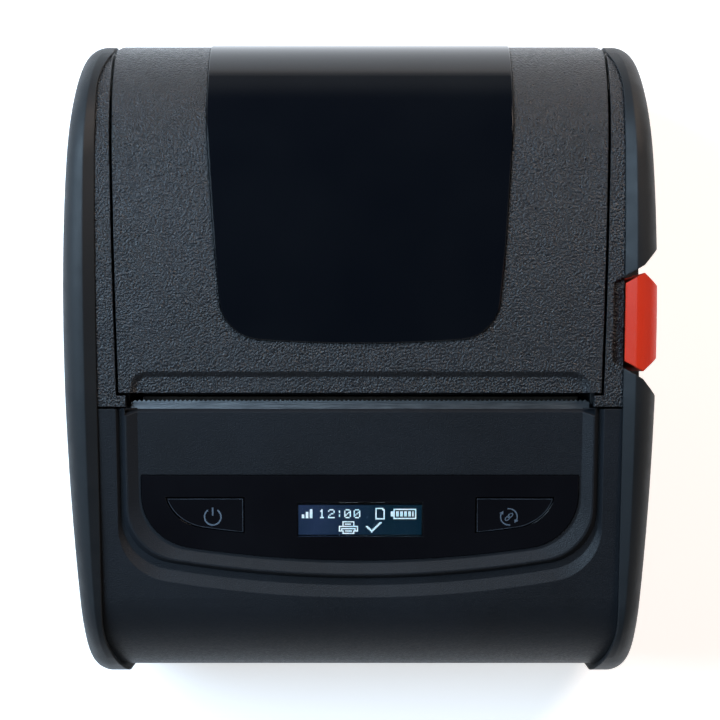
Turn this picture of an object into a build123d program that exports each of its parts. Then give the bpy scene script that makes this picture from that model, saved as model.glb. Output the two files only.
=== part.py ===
from build123d import *
import os
from math import atan2, cos, degrees, pi, radians, sin, tan

os.makedirs("parts", exist_ok=True)

# Portable receipt printer for 80 mm paper, in millimetres.
# +X is to the right, +Y to the back, +Z up. The origin is under the middle of the printer,
# on the surface that it stands on.

# Overall size
bumper_half_width = 53.0
bumper_front = -58.5
bumper_rear = 57.9
height = 58.0

# Housing, seen from the side
housing_front = -57.4
housing_rear = 58.15
housing_base = 1.0
housing_top = 56.7
crown_y = 18.0
slot_y = -7.0
slot_z = 52.3
front_slope = 13.0
nose_base_radius = 16.0
tail_base_radius = 20.0
tail_top_radius = 22.0
crown_radius = 150.0
slot_radius = 40.0
nose_top_radius = 18.0
nose_z = slot_z - (slot_y - housing_front) * tan(radians(front_slope))

# Housing, seen from above
core_half_width = 47.2
core_corner_y = 48.0
core_corner_radius = 16.0
split_z = 16.5
wall = 2.0
side_wall = 1.2
seam = 0.3

# Bumpers
bumper_rim = 14.0
bumper_hollow_depth = 2.4
bumper_draft = 20.0
bumper_inner_x = 38.0
bumper_ridge_x = 49.3
bumper_edge_radius = 4.2
ridge_height = 1.1
foot_flat = 0.35

# Crown of the bumper's side: how far it falls back, and where
widest_y = 24.0
front_fall = 3.0
front_turn_y = -36.0
front_turn = 1.0
rear_fall = 3.2
rear_turn_y = 41.0
rear_turn = 0.9
far = 200.0

# Lid release button in the right bumper
button_rear_outer = 17.2
button_rear_inner = 13.9
button_front_outer = -3.7
button_front_inner = -0.4
button_foot_z = 24.0

button_gap = 0.3
button_travel = 1.8
button_mouth = 2.4
button_round = 0.9
notch_flare = 1.2
stem_root = 1.1
button_lip_reach = 2.2
button_lip_gap = 0.15
lip_sink = 0.9
button_hollow_width = 9.0
button_hollow_height = 16.0
button_hollow_rise = -2.0
button_hollow_depth = 3.95
stem_tip_x = 43.25
stem_height = 2.5
stem_width = 3.0
wedge_length = 2.2
wedge_rise = 0.36
wedge_z = 36.5
lever_z = 36.0
tail_y = 7.6

# Battery, under the front
battery_half_width = 36.0
battery_front = -43.0
battery_rear = -4.0
battery_top = 21.0
battery_gap = 0.5
battery_pivot_radius = 1.4
latch_bay = 5.0

# Threaded inserts for a belt clip
clip_x = 15.0
clip_y = 3.0
clip_radius = 2.2
clip_length = 6.0
clip_boss_radius = 3.4
clip_boss_height = 8.0

# Print mechanism: rubber roller on the lid, head and gears in the housing
rubber_radius = 5.2
rubber_half_length = 39.2
shaft_radius = 2.0
paper_y = -6.35
platen_y = paper_y + rubber_radius
platen_z = 44.2
bushing_radius = 3.2
arm_x = 40.6
arm_thickness = 0.8
plate_x = 41.65
plate_thickness = 0.8
plate_front = -16.0
plate_rear = 5.7
plate_top = 48.4
plate_step_z = 33.4
plate_step_y = 0.4
plate_nose_z = 46.0
plate_base = 25.0
gear_face = 0.8
gear_gap = 0.15
gear_x = -plate_x - plate_thickness - gear_gap
module = 0.5
platen_teeth = 20
idler_teeth = 12
wheel_teeth = 30
motor_teeth = 10
head_half_length = 39.4
head_thickness = 0.8
head_base = 39.0
head_top = 47.2
sink_thickness = 2.7
back_wall_y = -11.0
back_wall = 1.2
yoke_y = -2.6
yoke_z = 31.4
yoke_radius = 1.5
hook_x = 39.6
hook_thickness = 0.7
motor_radius = 7.2
motor_length = 13.0
tear_half_width = 41.35
tear_tip_y = -7.15
tear_depth = 3.3
tear_thickness = 0.5
tear_pitch = 0.82
tear_tooth = 0.36
tear_z = 49.2

module_gap = 0.3
idler_pin_radius = 1.0
motor_shaft_radius = 0.8
motor_angle = 216.0
guide_thickness = 0.9
leaf = 0.25
hook_clear = 0.35
nose_height = 1.1
screw_radius = 1.0
screw_head_radius = 1.9
screw_head_height = 1.4
screw_length = 20.0
post_radius = 3.0
post_x = 40.6
front_post_y = -41.2
rear_post_y = -3.5
post_top = 25.0
chassis_screw_depth = 4.5
chassis_screw_x = plate_x - screw_head_radius - 0.3
main_board_front = -52.0
main_board_rear = -22.0
main_board_half_width = 34.0
main_board_z = 25.5
latch_half_width = 10.0
latch_depth = 2.4
latch_travel = 2.0
latch_height = 3.0
cell_radius = 8.5
cell_half_length = 32.5
cell_y = (-13.2, -31.2)

# Charging socket in the left side
socket_y = -28.0
socket_z = 28.2
socket_width = 9.0
socket_height = 3.2
socket_finger = 2.2
bumper_rib = 1.6
bumper_ribs = (-38.0, -12.0, 26.0, 42.0)

# Lid
lid_rear_half_width = 44.5
lid_front_half_width = 43.3
lid_front = -5.9
lid_gap = 0.5
lid_wall = 2.2
skirt = 0.8
skirt_depth = 1.1
strip_half_width = 41.2
strip_rear = -2.0
strip_depth = 0.8
strip_bevel = 1.1
strip_corner = 3.0

# Lid hinge, low in the back wall
hinge_y = 53.0
hinge_z = 14.0
knuckle_radius = 3.0
hinge_pin_radius = 1.2
lid_swing = 6.0
barrel_foot = 9.4
knuckle_gap = 0.35
knuckle_x = 30.0
knuckle_length = 6.0
ear_length = 3.5
running_gap = 0.05
moving_gap = 0.4

# Window in the lid
window_rear_half_width = 27.3
window_mid_half_width = 25.9
window_mid_y = 20.0
window_front_half_width = 24.4
window_front_y = 12.5
window_front = 3.0
window_corner = 7.5
window_bow = 1.2
window_foot_z = 22.0
window_proud = 0.35
window_thickness = 1.7
window_ledge = 2.5
fit_gap = 0.1

# Paper roll and its well
roll_radius = 25.0
roll_width = 80.0
roll_y = 28.5
roll_z = 28.8
well_radius = 25.7
well_wall = 1.6
well_half_width = 41.9

rail_depth = 3.4
foot_half_width = 42.1
cradle_lip_z = 33.0
cheek_rear = 48.0
cheek_ribs = (18.0, 38.0)

# Front cover
cover_rear = -8.8
cover_wall = 2.6
cover_chamfer = 1.1
relief_depth = 0.9
plateau_half_width = 40.1
plateau_front = -37.3
rim_half_width = 42.3
rim_front = -39.3
channel_half_width = 43.9
channel_front = -43.4
apron_corner = 10.0
apron_sag = 3.9

# Key panel, display and keys
panel_half_width = 39.6
panel_rear = -21.1
panel_front = -36.7
panel_thickness = 1.0
panel_proud = 0.2
key_margin = 4.2
key_inner_x = 21.2
key_rear = -25.3
key_gap = 0.25
key_proud = 0.12
key_travel = 0.4
key_flange = 0.8
display_half_width = 11.4
display_rear = -26.0
display_front = -32.3
display_glass = 1.4
board_thickness = 0.8
switch_x = 28.0
switch_y = -28.8
switch_width = 4.5
switch_height = 1.4
key_post_radius = 1.2
key_post_length = 0.73
key_board_half_width = 37.0
key_board_depth = 11.0
lid_foot_z = 15.0
window_rear_y = 42.0
beam_front = 4.7
beam_rear = 9.5
beam_base = 46.2
shaft_right = 43.0
shelf_base = 47.5
shelf_rear = -8.0
base_front = -5.4
fin_pitch = 4.0
spring_base = 41.5
spring_height = 3.0
spring_reach = 30
spring_step = 10
guide_y = -5.4
guide_top = 37.4
guide_rear = 0.8
guide_foot = 33.4
sensor_x = 8.0
tail_width = 1.2
tail_base = 37.2
tail_thickness = 1.4
nose_z_low = 46.3
nose_reach = 1.15
hook_depth = 1.4
leaf_base = 25.0
leaf_bow = 1.8
leaf_height = 8.0
socket_length = 7.0
cell_z = 11.0
nose_lean = 4.5
clip_bore = 1.25


def save(piece, name):
    """Names a finished piece and writes it to its file."""
    piece.label = name
    export_step(piece, f"parts/{name}.step")


def housing_section(inset=0.0, x=0.0):
    """The closed housing seen from the side; a negative inset makes it larger."""
    with BuildSketch(Plane.YZ.offset(x)) as section:
        with BuildLine():
            FilletPolyline(
                (housing_front, housing_base),
                (housing_rear, housing_base),
                (housing_rear, housing_top),
                (crown_y, housing_top),
                (slot_y, slot_z),
                (housing_front, nose_z),
                radius=[
                    nose_base_radius,
                    tail_base_radius,
                    tail_top_radius,
                    crown_radius,
                    slot_radius,
                    nose_top_radius,
                ],
                close=True,
            )
        make_face()
        if inset:
            offset(amount=-inset)
    return section.sketch


def core_plan(inset=0.0):
    """The housing between the bumpers seen from above."""
    with BuildSketch() as plan:
        RectangleRounded(
            2 * (core_half_width - inset),
            2 * (core_corner_y + core_corner_radius),
            core_corner_radius - inset,
        )
    return plan.sketch


def box_between(x0, x1, y0, y1, z0, z1):
    """A block given by its two corners."""
    block = Box(abs(x1 - x0), abs(y1 - y0), abs(z1 - z0), mode=Mode.PRIVATE)
    return Pos((x0 + x1) / 2, (y0 + y1) / 2, (z0 + z1) / 2) * block


def rod_between(x0, x1, y, z, radius):
    """A round bar along X."""
    bar = Cylinder(radius, abs(x1 - x0), mode=Mode.PRIVATE)
    return Pos((x0 + x1) / 2, y, z) * Rot(0, 90, 0) * bar


# Solids that several pieces are cut from or to
with BuildPart() as housing_outer:
    extrude(housing_section(), amount=far / 2, both=True)
    extrude(core_plan(), amount=far, mode=Mode.INTERSECT)

with BuildPart() as housing_inner:
    extrude(housing_section(wall), amount=core_half_width - side_wall, both=True)
    extrude(core_plan(side_wall), amount=far, mode=Mode.INTERSECT)


def lid_plan(clearance=0.0, front_clearance=0.0):
    """The lid seen from above, a little narrower towards the front."""
    taper = (lid_rear_half_width - lid_front_half_width) / (housing_rear - lid_front)
    front = lid_front - front_clearance
    rear = housing_rear + far / 10
    front_x = lid_front_half_width + clearance - taper * front_clearance
    rear_x = lid_rear_half_width + clearance + taper * far / 10
    with BuildSketch() as plan:
        with BuildLine():
            Polyline((-front_x, front), (front_x, front), (rear_x, rear), (-rear_x, rear), close=True)
        make_face()
    return plan.sketch


# Side bumpers: hollow rubber domes pressed over the sides of the housing
def bumper_outline(x, side_scale=1.0, height_scale=1.0):
    """The bumper's outline at one distance from the middle, scaled about its centre."""
    centre_z = (height - foot_flat) / 2
    base = -foot_flat
    drop = height - housing_top

    def corner(y, z):
        return (y * side_scale, centre_z + (z - centre_z) * height_scale)

    with BuildSketch(Plane.YZ.offset(x)) as outline:
        with BuildLine():
            FilletPolyline(
                corner(bumper_front, base),
                corner(bumper_rear, base),
                corner(bumper_rear, height),
                corner(crown_y, height),
                corner(slot_y, slot_z + drop),
                corner(bumper_front, nose_z + drop),
                radius=[
                    nose_base_radius * height_scale,
                    tail_base_radius * height_scale,
                    tail_top_radius * height_scale,
                    crown_radius * height_scale,
                    slot_radius * height_scale,
                    nose_top_radius * height_scale,
                ],
                close=True,
            )
        make_face()
    return outline.sketch


def bumper_plan():
    """The right bumper's crowned side, seen from above."""
    front = bumper_front - 1
    rear = bumper_rear + 1
    with BuildSketch() as plan:
        with BuildLine():
            crown = Spline(
                (bumper_half_width - front_fall, front),
                (bumper_half_width - front_turn, front_turn_y),
                (bumper_half_width, widest_y),
                (bumper_half_width - rear_turn, rear_turn_y),
                (bumper_half_width - rear_fall, rear),
            )
            Polyline(crown @ 1, (bumper_inner_x, rear), (bumper_inner_x, front), crown @ 0)
        make_face()
    return plan.sketch


# The button's ends lean outwards, so the notch is wider by what they sweep
rear_lean = (button_rear_outer - button_rear_inner) / (bumper_half_width - core_half_width)
front_lean = (button_front_inner - button_front_outer) / (bumper_half_width - core_half_width)
button_sweep = button_travel * rear_lean


def notch_plan(gap=0.0, flare=0.0):
    """The gap that the release button fills in the right bumper, seen from above."""
    inner = core_half_width - lid_gap * 4
    outer = bumper_half_width + 5.0
    mouth = bumper_half_width - button_mouth
    spread = flare * (outer - mouth)
    mouth_rear = button_rear_inner + rear_lean * (mouth - core_half_width) + gap
    mouth_front = button_front_inner - front_lean * (mouth - core_half_width) - gap
    with BuildSketch() as plan:
        with BuildLine():
            Polyline(
                (inner, button_rear_inner - rear_lean * (core_half_width - inner) + gap),
                (mouth, mouth_rear),
                (outer, mouth_rear + spread),
                (outer, mouth_front - spread),
                (mouth, mouth_front),
                (inner, button_front_inner + front_lean * (core_half_width - inner) - gap),
                close=True,
            )
        make_face()
    return plan.sketch


with BuildPart() as bumper_slope:
    ridge_depth = bumper_ridge_x - bumper_inner_x
    slope_drop = ridge_height * ridge_depth / (bumper_ridge_x - core_half_width)
    loft(
        [
            bumper_outline(bumper_inner_x, 1.02, 1 - 2 * slope_drop / height),
            bumper_outline(bumper_ridge_x),
        ],
        ruled=True,
    )

with BuildPart() as bumper_outer:
    extrude(bumper_outline(bumper_inner_x), amount=far / 2)
    extrude(bumper_plan(), amount=far, both=True, mode=Mode.INTERSECT)
    fillet(bumper_outer.faces().sort_by(Axis.X)[-1].edges(), radius=bumper_edge_radius)
    # The inner slope, from the ridge down to the rail
    slab = box_between(bumper_inner_x - 1, bumper_ridge_x, -far / 2, far / 2, -far / 4, far)
    add(slab - bumper_slope.part, mode=Mode.SUBTRACT)
    # Flat along the bottom, where the printer stands
    add(box_between(0, far, -far, far, -far, 0), mode=Mode.SUBTRACT)
    # Clear of the lid at the back corner
    lid_side = lid_rear_half_width + lid_gap
    add(box_between(0, lid_side, core_corner_y, far, 0, far), mode=Mode.SUBTRACT)

with BuildPart() as bumper_core:
    extrude(core_plan(), amount=far)

# The hollow inside, crossed by ribs that hold the rubber off the housing
with BuildPart() as bumper_hollow:
    extrude(housing_section(bumper_rim, core_half_width), amount=bumper_hollow_depth, taper=bumper_draft)
    for rib_y in bumper_ribs:
        with BuildSketch(Plane.XZ.offset(-rib_y)) as rib:
            Rectangle(far, far)
        extrude(amount=bumper_rib / 2, both=True, mode=Mode.SUBTRACT)

with BuildPart() as bumper_shell:
    add(bumper_outer.part)
    add(bumper_core.part, mode=Mode.SUBTRACT)
    add(bumper_hollow.part, mode=Mode.SUBTRACT)

with BuildPart() as right_bumper:
    add(bumper_shell.part)
    with BuildSketch(Plane.XY.offset(button_foot_z - moving_gap)) as notch:
        add(notch_plan(button_sweep, notch_flare))
    extrude(amount=height, mode=Mode.SUBTRACT)
save(right_bumper.part, "right_bumper")

with BuildPart() as left_bumper:
    mirror(bumper_shell.part, about=Plane.YZ)
    # Opening over the charging socket
    with BuildSketch(Plane.YZ.offset(-core_half_width)) as inlet:
        with Locations((socket_y, socket_z)):
            SlotOverall(socket_width + 2 * socket_finger, socket_height + 2 * socket_finger)
    extrude(amount=-far / 10, mode=Mode.SUBTRACT)
save(left_bumper.part, "left_bumper")


# Release button: fills the notch, and its thin lip slides over the rail
with BuildPart() as lip_block:
    extrude(housing_section(lip_sink), amount=far)

with BuildPart() as lip_floor:
    extrude(housing_section(lip_sink - moving_gap, 0), amount=core_half_width + button_travel + moving_gap)

with BuildPart() as release_button:
    add(bumper_outer.part)
    with BuildSketch(Plane.XY.offset(button_foot_z)) as outline:
        add(notch_plan(-button_gap, -button_round))
    extrude(amount=height, mode=Mode.INTERSECT)
    add(lip_floor.part, mode=Mode.SUBTRACT)
    with BuildSketch() as inner_edge:
        with Locations((core_half_width + button_lip_gap, 0)):
            Rectangle(far, far, align=(Align.MIN, Align.CENTER))
    extrude(amount=height, mode=Mode.INTERSECT)
    # The hollow behind its face
    button_mid_y = (button_rear_inner + button_front_inner) / 2
    with BuildSketch(Plane.YZ.offset(core_half_width)) as hollow:
        with Locations((button_mid_y, (button_foot_z + lever_z) / 2 + button_hollow_rise)):
            RectangleRounded(button_hollow_width, button_hollow_height, 1.5)
    extrude(amount=button_hollow_depth, mode=Mode.SUBTRACT)
    # The stem, whose wedge lifts the tail of the latch
    with BuildSketch(Plane.XZ.offset(-tail_y)) as stem:
        with BuildLine():
            Polyline(
                (stem_tip_x, wedge_z),
                (stem_tip_x + wedge_length, wedge_z + wedge_length * wedge_rise),
                (bumper_half_width - stem_root, wedge_z + wedge_length * wedge_rise),
                (bumper_half_width - stem_root, wedge_z - stem_height),
                (stem_tip_x, wedge_z - stem_height),
                close=True,
            )
        make_face()
    extrude(amount=stem_width / 2, both=True)
save(release_button.part, "release_button")


# Lower shell: the tub with the roll cradle, battery bay, clip bosses and hinge cove
def below(z):
    """Everything below a height."""
    return box_between(-far, far, -far, far, -far, z)


def above(z):
    """Everything above a height."""
    return box_between(-far, far, -far, far, z, far)


with BuildPart() as housing_wall:
    add(housing_outer.part)
    add(housing_inner.part, mode=Mode.SUBTRACT)

with BuildPart() as cradle:
    extrude_plane = Plane.YZ
    with BuildSketch(extrude_plane) as ring:
        with Locations((roll_y, roll_z)):
            Circle(well_radius + well_wall)
            Circle(well_radius, mode=Mode.SUBTRACT)
    extrude(amount=core_half_width - side_wall, both=True)
    add(housing_outer.part, mode=Mode.INTERSECT)

with BuildPart() as well_sides:
    with BuildSketch(Plane.YZ) as side:
        with Locations((roll_y, roll_z)):
            Circle(well_radius + well_wall)
    extrude(amount=core_half_width - side_wall, both=True)
    with BuildSketch(Plane.YZ) as middle:
        Rectangle(4 * far, 4 * far)
    extrude(amount=well_half_width, both=True, mode=Mode.SUBTRACT)
    with BuildSketch(Plane.YZ) as outside:
        Rectangle(4 * far, 4 * far)
    side_slabs = extrude(outside.sketch, amount=well_half_width + well_wall, both=True, mode=Mode.PRIVATE)
    add(side_slabs, mode=Mode.INTERSECT)
    add(housing_outer.part, mode=Mode.INTERSECT)

ear_starts = (knuckle_x - knuckle_gap - ear_length, knuckle_x + knuckle_length + knuckle_gap)
bay_front = battery_front - battery_gap
bay_rear = battery_rear + battery_gap
with BuildPart() as lower_shell:
    add(housing_wall.part)
    add(cradle.part)
    add(well_sides.part)
    # Battery bay: its roof and walls, open underneath
    add(
        box_between(
            -battery_half_width - battery_gap - wall,
            battery_half_width + battery_gap + wall,
            bay_front - latch_bay - wall,
            bay_rear + wall,
            housing_base,
            battery_top + battery_gap + wall,
        )
    )
    # Bosses for the clip inserts
    for boss_x in (-clip_x, clip_x):
        with Locations((boss_x, clip_y, housing_base)):
            Cylinder(clip_boss_radius, clip_boss_height, align=(Align.CENTER, Align.CENTER, Align.MIN))
    add(below(split_z), mode=Mode.INTERSECT)
    add(housing_outer.part, mode=Mode.INTERSECT)
    # The roll's own space
    add(rod_between(-well_half_width, well_half_width, roll_y, roll_z, well_radius), mode=Mode.SUBTRACT)
    # The battery's space
    add(
        box_between(
            -battery_half_width - battery_gap,
            battery_half_width + battery_gap,
            bay_front,
            bay_rear,
            -1,
            battery_top + battery_gap,
        ),
        mode=Mode.SUBTRACT,
    )
    # The catch runs in a slot with a groove on both sides
    catch_x = latch_half_width + moving_gap
    catch_top = housing_base + latch_height + moving_gap
    add(box_between(-catch_x, catch_x, bay_front - latch_bay, bay_front, -1, catch_top), mode=Mode.SUBTRACT)
    groove_x = catch_x + wall
    groove_z = catch_top - wall
    add(box_between(-groove_x, groove_x, bay_front - latch_bay, bay_front, groove_z, catch_top), mode=Mode.SUBTRACT)
    # Posts for the housing screws
    for post_y in (front_post_y, rear_post_y):
        for side in (-1, 1):
            with Locations((side * post_x, post_y, housing_base)):
                Cylinder(post_radius, split_z - housing_base, align=(Align.CENTER, Align.CENTER, Align.MIN))
                Cylinder(screw_radius + running_gap, far, mode=Mode.SUBTRACT)
                Cylinder(
                    screw_head_radius + running_gap, 2 * screw_head_height, mode=Mode.SUBTRACT
                )
    for boss_x in (-clip_x, clip_x):
        with Locations((boss_x, clip_y, housing_base)):
            Cylinder(clip_radius + running_gap, 2 * clip_length, mode=Mode.SUBTRACT)
    # Cove for the lid hinge
    lid_reach = lid_rear_half_width + lid_gap
    cove_radius = housing_rear - hinge_y + moving_gap
    add(rod_between(-lid_reach, lid_reach, hinge_y, hinge_z, cove_radius), mode=Mode.SUBTRACT)
    add(box_between(-lid_reach, lid_reach, hinge_y, far, hinge_z - lid_swing, far), mode=Mode.SUBTRACT)
    for side in (-1, 1):
        for ear_x in ear_starts:
            add(rod_between(side * ear_x, side * (ear_x + ear_length), hinge_y, hinge_z, knuckle_radius))
            web = box_between(
                side * ear_x,
                side * (ear_x + ear_length),
                hinge_y - knuckle_radius,
                hinge_y + knuckle_gap,
                housing_base,
                hinge_z,
            )
            add(web & housing_outer.part)
    add(rod_between(-far, far, hinge_y, hinge_z, hinge_pin_radius + running_gap), mode=Mode.SUBTRACT)
save(lower_shell.part, "lower_shell")


# Rear frame: the two side rails, joined by the upper part of the roll cradle
foot_front = cover_rear + moving_gap
with BuildPart() as rail_band:
    add(housing_outer.part)
    extrude(housing_section(rail_depth), amount=far, both=True, mode=Mode.SUBTRACT)
    # The lid's opening, and the slot between the feet
    with BuildSketch() as opening:
        add(lid_plan(lid_gap, lid_gap))
        with Locations((0, lid_front)):
            Rectangle(2 * foot_half_width, far / 2)
    extrude(amount=far, mode=Mode.SUBTRACT)

with BuildPart() as rear_frame:
    add(housing_outer.part)
    with BuildSketch() as between:
        Rectangle(2 * (core_half_width - side_wall), far)
    extrude(amount=far, mode=Mode.SUBTRACT)
    add(rail_band.part)
    # Upper part of the roll cradle, with its cheeks and the ribs that carry them
    with BuildSketch(Plane.YZ) as ring:
        with Locations((roll_y, roll_z)):
            Circle(well_radius + well_wall)
            Circle(well_radius, mode=Mode.SUBTRACT)
        with Locations((roll_y, cradle_lip_z)):
            Rectangle(far, far, align=(Align.MIN, Align.CENTER), mode=Mode.SUBTRACT)
            Rectangle(far, far, align=(Align.MAX, Align.MIN), mode=Mode.SUBTRACT)
    extrude(amount=well_half_width + well_wall, both=True)
    for side in (-1, 1):
        cheek_x = side * well_half_width
        with BuildSketch(Plane.YZ.offset(cheek_x)) as cheek:
            with Locations((roll_y, roll_z)):
                Circle(well_radius + well_wall)
            with Locations((roll_y, cradle_lip_z)):
                Rectangle(far, far, align=(Align.CENTER, Align.MIN), mode=Mode.SUBTRACT)
            with Locations((cheek_rear, roll_z)):
                Rectangle(far, far, align=(Align.MIN, Align.CENTER), mode=Mode.SUBTRACT)
        extrude(amount=side * well_wall)
        rib_x = (core_half_width + well_half_width) / 2
        with Locations([(side * rib_x, rib_y, split_z) for rib_y in cheek_ribs]):
            Box(
                core_half_width - well_half_width - side_wall,
                well_wall,
                cradle_lip_z - split_z - well_wall,
                align=(Align.CENTER, Align.CENTER, Align.MIN),
            )
    add(above(split_z), mode=Mode.INTERSECT)
    with BuildSketch() as frame_span:
        with Locations((0, foot_front)):
            Rectangle(far, far, align=(Align.CENTER, Align.MIN))
    extrude(amount=far, mode=Mode.INTERSECT)
    # Posts that the housing screws hold and the print mechanism stands on
    for side in (-1, 1):
        with Locations((side * post_x, rear_post_y, split_z)):
            Cylinder(post_radius, post_top - split_z, align=(Align.CENTER, Align.CENTER, Align.MIN))
        add(
            box_between(
                side * post_x,
                side * (core_half_width - side_wall),
                rear_post_y - well_wall / 2,
                rear_post_y + well_wall / 2,
                split_z,
                post_top,
            )
        )
        with Locations((side * post_x, rear_post_y, split_z)):
            Cylinder(screw_radius + running_gap, far, mode=Mode.SUBTRACT)
        with Locations((side * chassis_screw_x, rear_post_y, post_top)):
            Cylinder(screw_radius + running_gap, 2 * chassis_screw_depth, mode=Mode.SUBTRACT)
    # The rail is relieved where the release button's lip slides over it
    with BuildSketch() as lip_span:
        add(notch_plan(button_sweep))
    lip_cut = extrude(lip_span.sketch, amount=far, mode=Mode.PRIVATE)
    add(lip_cut - lip_block.part, mode=Mode.SUBTRACT)
    # Hole for the release button's stem
    stem_top = wedge_z + wedge_length * wedge_rise
    with Locations((core_half_width, tail_y, (stem_top + wedge_z - stem_height) / 2)):
        Box(
            2 * side_wall + 1,
            stem_width + 2 * moving_gap,
            stem_top - wedge_z + stem_height + 2 * moving_gap,
            mode=Mode.SUBTRACT,
        )
save(rear_frame.part, "rear_frame")


# Front cover: plateau, U-shaped rim and channel are sunk into its sloping top
front_plane = Plane(
    origin=(0, slot_y, slot_z),
    x_dir=(1, 0, 0),
    z_dir=(0, -sin(radians(front_slope)), cos(radians(front_slope))),
)


def along(y):
    """Distance along the sloping front for a place measured along Y."""
    return (y - slot_y) / cos(radians(front_slope))


def apron(half_width, rear, front, depth, corner=apron_corner):
    """A shape with a straight back edge, a bowed front edge and round front corners."""
    top = along(rear)
    tip = along(front)
    side = tip + apron_sag * (half_width / panel_half_width) ** 2
    with BuildSketch(front_plane.offset(-depth)) as shape:
        with BuildLine():
            Line((-half_width, top), (half_width, top))
            Line((half_width, top), (half_width, side))
            ThreePointArc((half_width, side), (0, tip), (-half_width, side))
            Line((-half_width, side), (-half_width, top))
        make_face()
        fillet(shape.vertices().group_by(Axis.Y)[0], corner)
    return shape.sketch


relief_rear = cover_rear + 4.0
with BuildPart() as front_cover:
    add(housing_outer.part)
    extrude(housing_section(cover_wall), amount=core_half_width - side_wall, both=True, mode=Mode.SUBTRACT)
    with BuildSketch() as cover_span:
        with Locations((0, cover_rear)):
            Rectangle(far, far, align=(Align.CENTER, Align.MAX))
    extrude(amount=far, mode=Mode.INTERSECT)
    add(above(split_z), mode=Mode.INTERSECT)
    # Channel round the rim
    loft(
        [
            apron(channel_half_width - 0.5, relief_rear, channel_front + 2.0, relief_depth),
            apron(channel_half_width, relief_rear, channel_front, 0),
            apron(channel_half_width + 0.5, relief_rear, channel_front - 2.0, -relief_depth),
        ],
        ruled=True,
        mode=Mode.SUBTRACT,
    )
    # Rim
    loft(
        [
            apron(rim_half_width + 0.7, cover_rear, rim_front - 0.8, relief_depth),
            apron(rim_half_width, cover_rear, rim_front, 0),
        ],
        ruled=True,
    )
    # Plateau inside it
    loft(
        [
            apron(plateau_half_width, relief_rear, plateau_front, relief_depth),
            apron(rim_half_width - 0.3, relief_rear, rim_front + 0.3, 0),
            apron(2 * rim_half_width - plateau_half_width - 0.6, relief_rear, 2 * rim_front - plateau_front + 0.6, -relief_depth),
        ],
        ruled=True,
        mode=Mode.SUBTRACT,
    )
    # Pocket for the key panel, with openings under the keys and the display
    panel_floor = relief_depth + panel_thickness - panel_proud
    extrude(
        apron(panel_half_width + fit_gap, panel_rear + fit_gap, panel_front - fit_gap, panel_floor),
        amount=panel_thickness,
        mode=Mode.SUBTRACT,
    )
    inner_margin = key_margin / 2
    extrude(
        apron(
            panel_half_width - inner_margin,
            panel_rear - inner_margin,
            panel_front + inner_margin,
            far / 20,
            apron_corner - inner_margin,
        ),
        amount=far / 20,
        mode=Mode.SUBTRACT,
    )
    # Posts that the housing screws hold
    for side in (-1, 1):
        with Locations((side * post_x, front_post_y, split_z)):
            Cylinder(post_radius, post_top - split_z, align=(Align.CENTER, Align.CENTER, Align.MIN))
        add(
            box_between(
                side * post_x,
                side * (core_half_width - side_wall / 2),
                front_post_y - well_wall / 2,
                front_post_y + well_wall / 2,
                split_z,
                post_top,
            )
        )
        with Locations((side * post_x, front_post_y, split_z)):
            Cylinder(screw_radius + running_gap, 2 * (post_top - split_z - 1), mode=Mode.SUBTRACT)
    # Room for the tear bar and the shelf that it lies on
    add(
        box_between(
            -plate_x - moving_gap,
            plate_x + moving_gap,
            tear_tip_y - tear_tooth - tear_depth - moving_gap,
            0,
            split_z,
            tear_z + tear_thickness + fit_gap,
        ),
        mode=Mode.SUBTRACT,
    )
    # Charging inlet
    with BuildSketch(Plane.YZ.offset(-core_half_width)) as inlet:
        with Locations((socket_y, socket_z)):
            SlotOverall(socket_width + 2 * fit_gap, socket_height + 2 * fit_gap)
    extrude(amount=far / 20, both=True, mode=Mode.SUBTRACT)
    # Slanted back edge over the tear bar
    with BuildSketch(Plane.YZ) as edge:
        with BuildLine():
            Polyline(
                (cover_rear, slot_z + 2),
                (cover_rear, slot_z - cover_chamfer - relief_depth),
                (cover_rear - 2 * cover_chamfer, slot_z + cover_chamfer - relief_depth),
                close=True,
            )
        make_face()
    extrude(amount=rim_half_width, both=True, mode=Mode.SUBTRACT)
save(front_cover.part, "front_cover")


# Key panel: one glossy moulding with openings for the keys and the display
def key_outline(side, depth, gap=0.0):
    """A key's face: the panel's rounded corner, set in by the key's margin."""
    rounded = apron(
        panel_half_width - key_margin + gap,
        panel_rear,
        panel_front + key_margin - gap,
        depth,
        apron_corner - key_margin / 2 + gap,
    )
    with BuildSketch(front_plane.offset(-depth)) as outer_side:
        with Locations((side * (key_inner_x - gap), along(key_rear) + gap)):
            Rectangle(far, far, align=(Align.MIN if side > 0 else Align.MAX, Align.MAX))
    return rounded & outer_side.sketch


def display_outline(depth, gap=0.0):
    """The lit rectangle of the display."""
    with BuildSketch(front_plane.offset(-depth)) as face:
        with Locations((0, (along(display_rear) + along(display_front)) / 2)):
            Rectangle(2 * (display_half_width + gap), along(display_rear) - along(display_front) + 2 * gap)
    return face.sketch


with BuildPart() as key_panel:
    extrude(apron(panel_half_width, panel_rear, panel_front, panel_floor), amount=panel_thickness)
    for side in (-1, 1):
        extrude(key_outline(side, panel_floor, key_gap), amount=far / 20, mode=Mode.SUBTRACT)
    extrude(display_outline(panel_floor), amount=far / 20, mode=Mode.SUBTRACT)
save(key_panel.part, "key_panel")

with BuildPart() as display_lens:
    extrude(display_outline(panel_floor, -running_gap / 2), amount=panel_thickness)
save(display_lens.part, "display_lens")

# Display module: glass on a small board, right under the lens
glass_top = panel_floor + running_gap
with BuildPart() as oled_module:
    extrude(display_outline(glass_top + display_glass, 1.5), amount=display_glass)
    extrude(display_outline(glass_top + display_glass + board_thickness, 2.5), amount=board_thickness)
save(oled_module.part, "oled_module")

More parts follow.
